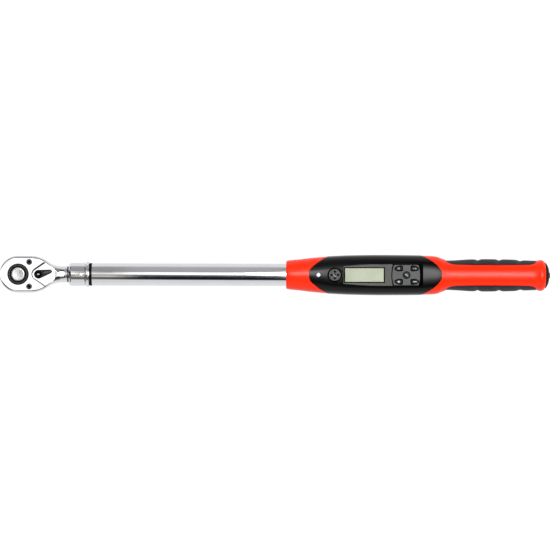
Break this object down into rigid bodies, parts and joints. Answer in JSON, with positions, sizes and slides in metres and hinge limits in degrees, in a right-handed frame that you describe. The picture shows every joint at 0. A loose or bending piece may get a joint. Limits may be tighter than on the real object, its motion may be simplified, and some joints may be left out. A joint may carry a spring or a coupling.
{
  "type": "torque wrench",
  "caption": "Electronic torque wrench: reversible ratchet head with square drive and quick release, steel tube, display console with keypad, moulded grip with rubber pads and screw battery cap.",
  "frame": {"origin": "centre of the square drive's tip face", "axes": "+X along the tool from the ratchet head to the battery cap, +Z towards the display side, away from the square drive's tip"},
  "size_m": [0.5822, 0.0424, 0.0479],
  "materials": {
    "chrome": "polished chrome plate",
    "dark_steel": "black oxide, satin",
    "satin_steel": "fine satin with light scuffs",
    "spring_steel": "ground",
    "brass": "satin",
    "red_plastic": "satin moulded orange red",
    "black_plastic": "satin moulded black",
    "black_rubber": "matt, finely grained",
    "grey_plastic": "satin grey",
    "keypad_grey": "matt grey elastomer",
    "key_black": "matt black elastomer with printed signs",
    "lcd_green": "pale green liquid-crystal glass",
    "clear_pane": "clear, glossy",
    "board_green": "solder mask",
    "lamp_white": "milky lens",
    "cell_jacket": "gloss sleeve",
    "gauge_film": "amber film",
    "lead_grey": "matt grey insulation"
  },
  "bodies": {
    "wrench": {"head_body": "chrome", "cover_plate": "chrome", "plate_screw_1": "dark_steel", "plate_screw_2": "dark_steel", "pawl_pin": "spring_steel", "neck_seal": "black_rubber", "collar": "chrome", "collar_pin": "spring_steel", "spacer_ring": "black_rubber", "main_tube": "chrome", "strain_gauge_1": "gauge_film", "strain_gauge_2": "gauge_film", "gauge_cable": "lead_grey", "battery_lead": "lead_grey", "upper_shell": "red_plastic", "lower_shell": "red_plastic", "console_cover": "black_plastic", "grip_pad_left": "black_rubber", "grip_pad_right": "black_rubber", "housing_screw_1": "dark_steel", "housing_screw_2": "dark_steel", "housing_screw_3": "dark_steel", "housing_screw_4": "dark_steel", "circuit_board": "board_green", "lcd_module": "lcd_green", "lcd_bezel": "grey_plastic", "lcd_window": "clear_pane", "keypad_panel": "keypad_grey", "keypad_dome_sheet": "key_black", "buzzer": "black_plastic", "buzzer_grille": "grey_plastic", "lamp_lens": "lamp_white", "battery_sleeve": "grey_plastic", "battery_1": "cell_jacket", "battery_2": "cell_jacket", "battery_contact": "brass"},
    "drive": {"drive_gear": "dark_steel", "spinner_ring": "dark_steel"},
    "release_button": {"release_button": "satin_steel", "release_spring": "spring_steel"},
    "detent_ball": {"detent_ball": "spring_steel"},
    "reverse_lever": {"reverse_lever": "black_plastic", "lever_spindle": "dark_steel", "lever_cap": "black_plastic", "pawl_plunger": "spring_steel", "plunger_spring": "spring_steel"},
    "pawl": {"pawl": "dark_steel"},
    "cap_carrier": {"cap_contact": "brass", "cap_spring": "spring_steel"},
    "end_cap": {"end_cap": "black_plastic", "cap_seal": "black_rubber"},
    "corner_key_1": {"corner_key_1": "key_black"},
    "corner_key_2": {"corner_key_2": "key_black"},
    "corner_key_3": {"corner_key_3": "key_black"},
    "corner_key_4": {"corner_key_4": "key_black"},
    "centre_key": {"centre_key": "key_black"}
  },
  "joints": [
    {"name": "drive_turn", "type": "hinge", "parent": "wrench", "child": "drive", "pos_m": [0, 0, 0.029], "axis": [0, 0, 1], "continuous": true},
    {"name": "release_button_press", "type": "slide", "parent": "drive", "child": "release_button", "axis": [0, 0, -1], "range_m": [0, 0.003], "stiffness_N_per_m": 800, "springref_m": -0.002, "deforming": ["release_spring"]},
    {"name": "detent_ball_slide", "type": "slide", "parent": "drive", "child": "detent_ball", "axis": [0, -1, 0], "range_m": [0, 0.0009]},
    {"name": "reverse_lever_turn", "type": "hinge", "parent": "wrench", "child": "reverse_lever", "pos_m": [0.0215, 0, 0.029], "axis": [0, 0, 1], "range_deg": [-28, 0]},
    {"name": "pawl_rock", "type": "hinge", "parent": "wrench", "child": "pawl", "pos_m": [0.0162, 0, 0.029], "axis": [0, 0, 1], "range_deg": [0, 8]},
    {"name": "cap_turn", "type": "hinge", "parent": "cap_carrier", "child": "end_cap", "pos_m": [0.553, 0, 0.029], "axis": [1, 0, 0], "range_deg": [0, 1440]},
    {"name": "cap_travel", "type": "slide", "parent": "wrench", "child": "cap_carrier", "axis": [1, 0, 0], "range_m": [0, 0.006]},
    {"name": "corner_key_1_press", "type": "slide", "parent": "wrench", "child": "corner_key_1", "axis": [0, 0, -1], "range_m": [0, 0.0004], "stiffness_N_per_m": 500, "springref_m": -0.0006},
    {"name": "corner_key_2_press", "type": "slide", "parent": "wrench", "child": "corner_key_2", "axis": [0, 0, -1], "range_m": [0, 0.0004], "stiffness_N_per_m": 500, "springref_m": -0.0006},
    {"name": "corner_key_3_press", "type": "slide", "parent": "wrench", "child": "corner_key_3", "axis": [0, 0, -1], "range_m": [0, 0.0004], "stiffness_N_per_m": 500, "springref_m": -0.0006},
    {"name": "corner_key_4_press", "type": "slide", "parent": "wrench", "child": "corner_key_4", "axis": [0, 0, -1], "range_m": [0, 0.0004], "stiffness_N_per_m": 500, "springref_m": -0.0006},
    {"name": "centre_key_press", "type": "slide", "parent": "wrench", "child": "centre_key", "axis": [0, 0, -1], "range_m": [0, 0.0004], "stiffness_N_per_m": 500, "springref_m": -0.0006}
  ],
  "couplings": [
    {"joint": "detent_ball_slide", "follows": "release_button_press", "ratio": 0.3},
    {"joint": "pawl_rock", "follows": "reverse_lever_turn", "ratio": -0.28571},
    {"joint": "cap_turn", "follows": "cap_travel", "rad_per_m": 4188.8}
  ]
}
